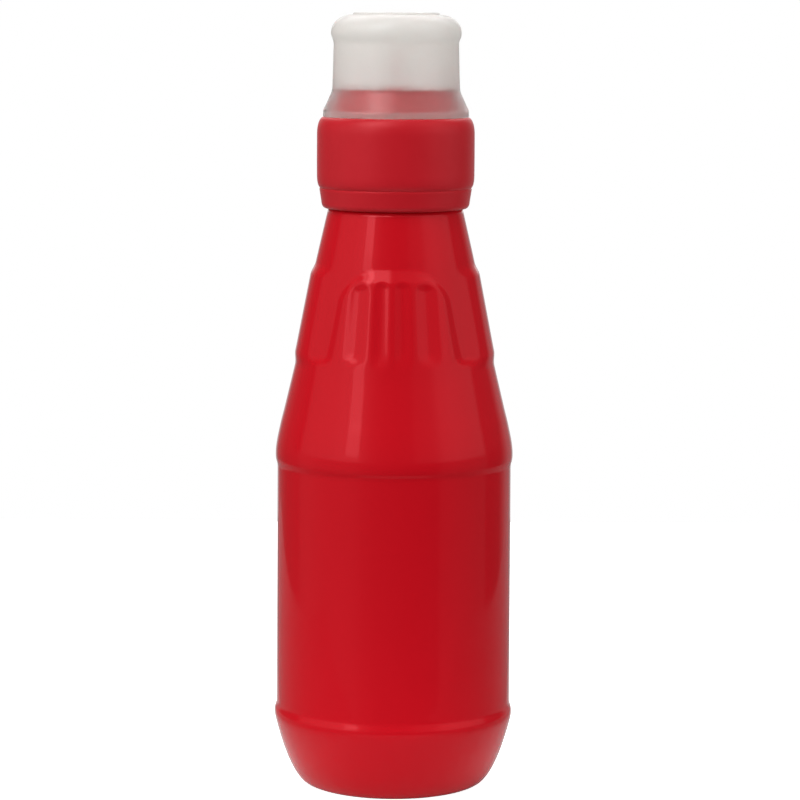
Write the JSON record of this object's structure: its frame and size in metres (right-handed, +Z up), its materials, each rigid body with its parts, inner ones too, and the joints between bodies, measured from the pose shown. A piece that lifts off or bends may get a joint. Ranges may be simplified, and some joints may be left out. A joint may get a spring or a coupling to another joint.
{
  "type": "squeeze bottle with screw closure and overcap",
  "caption": "Shut plastic squeeze bottle for sauce: round body with two ribs, fluted conical shoulder, two-tier screw collar and a frosted overcap.",
  "frame": {"origin": "centre of the standing ring, on the surface the bottle stands on", "axes": "+Z up the bottle's axis; -Y is the front, the middle of one group of flutes; +X to the right seen from the front"},
  "size_m": [0.0664, 0.0662, 0.2139],
  "materials": {
    "bottle_red": "glossy opaque red polypropylene",
    "closure_red": "fine-textured matte red polypropylene",
    "overcap_frosted": "frosted translucent colourless polypropylene"
  },
  "bodies": {
    "root": {"bottle": "bottle_red", "closure": "closure_red", "overcap": "overcap_frosted"}
  },
  "joints": []
}
